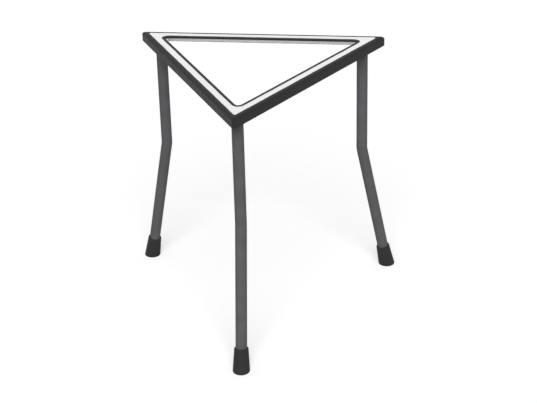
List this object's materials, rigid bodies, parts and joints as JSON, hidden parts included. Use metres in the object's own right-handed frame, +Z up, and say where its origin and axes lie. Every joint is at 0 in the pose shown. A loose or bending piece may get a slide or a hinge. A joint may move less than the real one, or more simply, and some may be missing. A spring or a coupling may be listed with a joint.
{
  "type": "lab tripod stand",
  "caption": "Bench tripod stand with an open triangular top on splayed rod legs, to hold a gauze or vessel over a burner.",
  "frame": {"origin": "on the floor, on the vertical axis through the middle of the triangular top", "axes": "+Z up along that axis; one corner of the top, the front one, points along -Y, and the opposite side lies along X at the back"},
  "size_m": [0.2196, 0.1919, 0.21],
  "materials": {
    "top_enamel": "white baked enamel, with dark grey enamel on the skirt and both edges",
    "leg_paint": "satin mid-grey paint on steel rod",
    "foot_rubber": "matt black rubber"
  },
  "bodies": {
    "root": {"top_frame": "top_enamel", "nut_front": "top_enamel", "nut_right": "top_enamel", "nut_left": "top_enamel", "leg_front": "leg_paint", "leg_right": "leg_paint", "leg_left": "leg_paint", "foot_front": "foot_rubber", "foot_right": "foot_rubber", "foot_left": "foot_rubber"}
  },
  "joints": []
}
